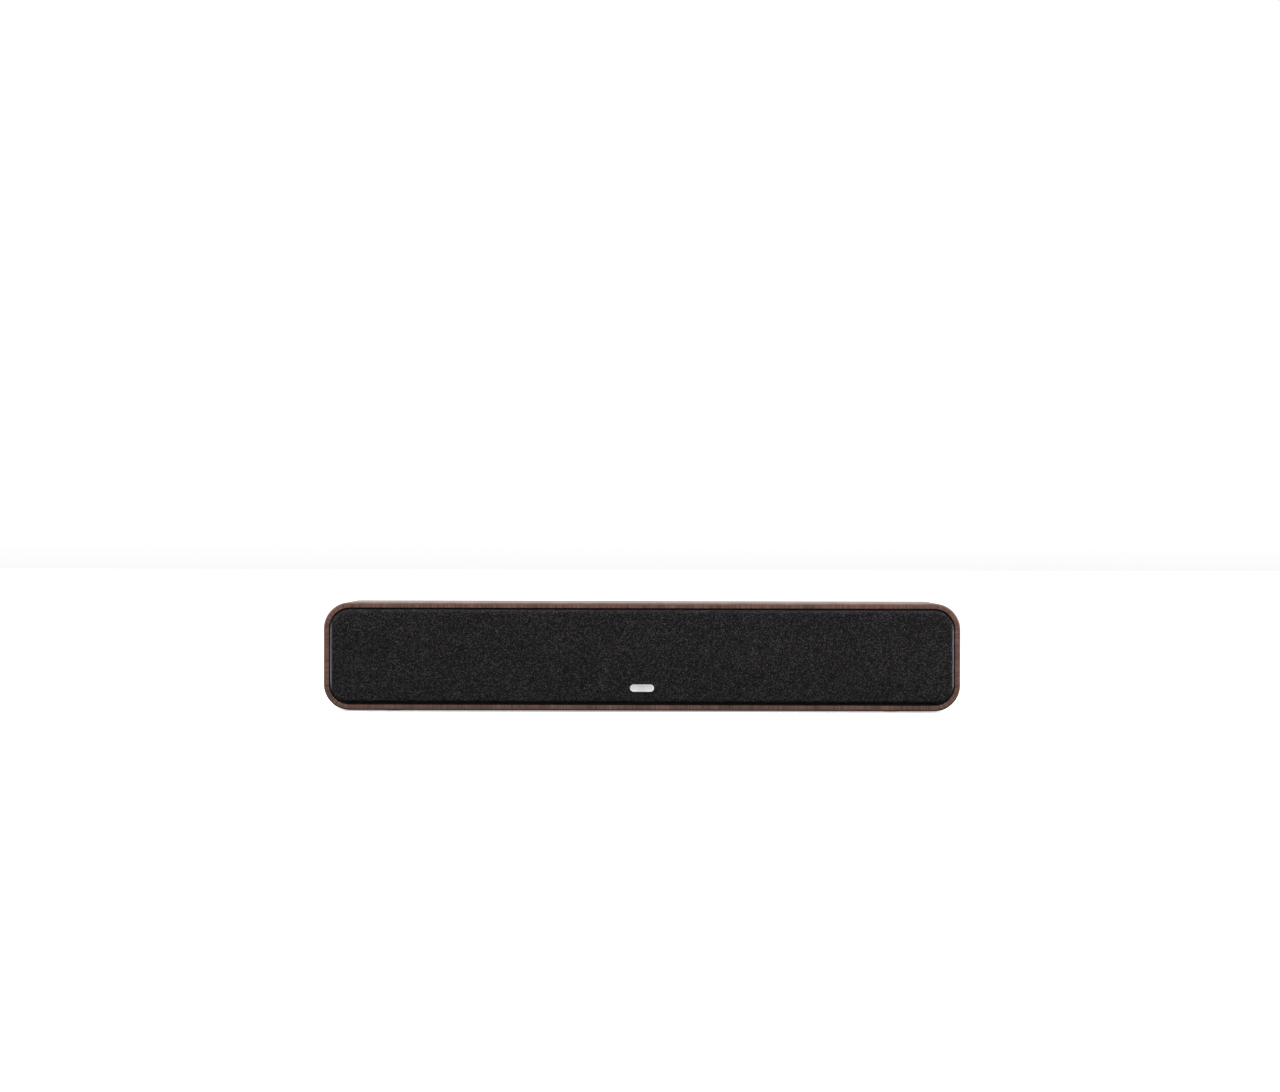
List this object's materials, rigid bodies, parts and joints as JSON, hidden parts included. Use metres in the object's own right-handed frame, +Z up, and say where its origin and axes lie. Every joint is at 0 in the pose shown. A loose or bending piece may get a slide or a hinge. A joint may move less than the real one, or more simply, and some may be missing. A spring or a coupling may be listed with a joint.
{
  "type": "centre channel speaker",
  "caption": "Slim wooden centre-channel speaker bar with a magnetic cloth grille, small woofers, dome tweeter, rear ports and screw-down binding posts.",
  "frame": {"origin": "under the middle of the bar, on the surface that its feet stand on", "axes": "+X along the bar to the viewer's right, the grille faces -Y, +Z up"},
  "size_m": [0.609, 0.207, 0.1045],
  "materials": {
    "walnut_veneer": "satin open-grain walnut veneer",
    "black_board": "black vinyl laminate on fibreboard",
    "raw_board": "raw fibreboard",
    "black_plastic": "fine-textured black moulding",
    "cloth_black": "fine open-weave speaker cloth",
    "badge_silver": "satin light silver",
    "steel": "zinc-plated steel",
    "ferrite": "sintered ferrite",
    "rubber": "matte",
    "paper_cone": "coated paper pulp",
    "silk": "doped silk",
    "gilt_brass": "gold-plated brass",
    "post_red": "translucent red moulding",
    "post_black": "black moulding",
    "circuit_board": "green solder mask",
    "copper": "enamelled copper winding"
  },
  "bodies": {
    "cabinet": {"cabinet_shell": "walnut_veneer", "front_baffle": "black_board", "back_panel": "black_board", "brace_left": "raw_board", "brace_right": "raw_board", "tweeter_faceplate": "black_plastic", "tweeter_magnet": "ferrite", "port_tube_left": "black_plastic", "port_tube_right": "black_plastic", "terminal_cup": "black_plastic", "post_black_stud": "gilt_brass", "post_red_stud": "gilt_brass", "keyhole_plate_left": "steel", "keyhole_plate_right": "steel", "crossover_board": "circuit_board", "inductor": "copper", "foot_front_left": "rubber", "foot_front_right": "rubber", "foot_rear_left": "rubber", "foot_rear_right": "rubber", "catch_disc_1": "steel", "catch_disc_2": "steel", "catch_disc_3": "steel", "catch_disc_4": "steel", "woofer_1_basket": "black_plastic", "woofer_1_magnet": "ferrite", "woofer_2_basket": "black_plastic", "woofer_2_magnet": "ferrite", "woofer_3_basket": "black_plastic", "woofer_3_magnet": "ferrite", "woofer_4_basket": "black_plastic", "woofer_4_magnet": "ferrite", "woofer_5_basket": "black_plastic", "woofer_5_magnet": "ferrite", "woofer_6_basket": "black_plastic", "woofer_6_magnet": "ferrite"},
    "grille": {"grille_frame": "black_plastic", "grille_cloth": "cloth_black", "badge": "badge_silver", "grille_magnet_1": "ferrite", "grille_magnet_2": "ferrite", "grille_magnet_3": "ferrite", "grille_magnet_4": "ferrite"},
    "woofer_1_piston": {"woofer_1_cone": "paper_cone", "woofer_1_surround": "rubber"},
    "woofer_2_piston": {"woofer_2_cone": "paper_cone", "woofer_2_surround": "rubber"},
    "woofer_3_piston": {"woofer_3_cone": "paper_cone", "woofer_3_surround": "rubber"},
    "woofer_4_piston": {"woofer_4_cone": "paper_cone", "woofer_4_surround": "rubber"},
    "woofer_5_piston": {"woofer_5_cone": "paper_cone", "woofer_5_surround": "rubber"},
    "woofer_6_piston": {"woofer_6_cone": "paper_cone", "woofer_6_surround": "rubber"},
    "tweeter_piston": {"tweeter_dome": "silk"},
    "post_black_clamp": {"post_black_washer": "gilt_brass"},
    "post_black_cap": {"post_black_knob": "post_black"},
    "post_red_clamp": {"post_red_washer": "gilt_brass"},
    "post_red_cap": {"post_red_knob": "post_red"}
  },
  "joints": [
    {"name": "grille_pull", "type": "slide", "parent": "cabinet", "child": "grille", "axis": [0, -1, 0], "range_m": [0, 0.08]},
    {"name": "woofer_1_stroke", "type": "slide", "parent": "cabinet", "child": "woofer_1_piston", "axis": [0, -1, 0], "range_m": [-0.0025, 0.0025], "stiffness_N_per_m": 1000, "deforming": ["woofer_1_surround"]},
    {"name": "woofer_2_stroke", "type": "slide", "parent": "cabinet", "child": "woofer_2_piston", "axis": [0, -1, 0], "range_m": [-0.0025, 0.0025], "stiffness_N_per_m": 1000, "deforming": ["woofer_2_surround"]},
    {"name": "woofer_3_stroke", "type": "slide", "parent": "cabinet", "child": "woofer_3_piston", "axis": [0, -1, 0], "range_m": [-0.0025, 0.0025], "stiffness_N_per_m": 1000, "deforming": ["woofer_3_surround"]},
    {"name": "woofer_4_stroke", "type": "slide", "parent": "cabinet", "child": "woofer_4_piston", "axis": [0, -1, 0], "range_m": [-0.0025, 0.0025], "stiffness_N_per_m": 1000, "deforming": ["woofer_4_surround"]},
    {"name": "woofer_5_stroke", "type": "slide", "parent": "cabinet", "child": "woofer_5_piston", "axis": [0, -1, 0], "range_m": [-0.0025, 0.0025], "stiffness_N_per_m": 1000, "deforming": ["woofer_5_surround"]},
    {"name": "woofer_6_stroke", "type": "slide", "parent": "cabinet", "child": "woofer_6_piston", "axis": [0, -1, 0], "range_m": [-0.0025, 0.0025], "stiffness_N_per_m": 1000, "deforming": ["woofer_6_surround"]},
    {"name": "tweeter_stroke", "type": "slide", "parent": "cabinet", "child": "tweeter_piston", "axis": [0, -1, 0], "range_m": [-0.0003, 0.0003], "stiffness_N_per_m": 1500},
    {"name": "post_black_advance", "type": "slide", "parent": "cabinet", "child": "post_black_clamp", "axis": [0, 1, 0], "range_m": [0, 0.005]},
    {"name": "post_black_turn", "type": "hinge", "parent": "post_black_clamp", "child": "post_black_cap", "pos_m": [-0.0095, 0.09, 0.053], "axis": [0, 1, 0], "range_deg": [0, 1800]},
    {"name": "post_red_advance", "type": "slide", "parent": "cabinet", "child": "post_red_clamp", "axis": [0, 1, 0], "range_m": [0, 0.005]},
    {"name": "post_red_turn", "type": "hinge", "parent": "post_red_clamp", "child": "post_red_cap", "pos_m": [0.0095, 0.09, 0.053], "axis": [0, 1, 0], "range_deg": [0, 1800]}
  ],
  "couplings": [
    {"joint": "woofer_2_stroke", "follows": "woofer_1_stroke", "ratio": 1},
    {"joint": "woofer_3_stroke", "follows": "woofer_1_stroke", "ratio": 1},
    {"joint": "woofer_4_stroke", "follows": "woofer_1_stroke", "ratio": 1},
    {"joint": "woofer_5_stroke", "follows": "woofer_1_stroke", "ratio": 1},
    {"joint": "woofer_6_stroke", "follows": "woofer_1_stroke", "ratio": 1},
    {"joint": "post_black_turn", "follows": "post_black_advance", "rad_per_m": 6283.2},
    {"joint": "post_red_turn", "follows": "post_red_advance", "rad_per_m": 6283.2}
  ]
}
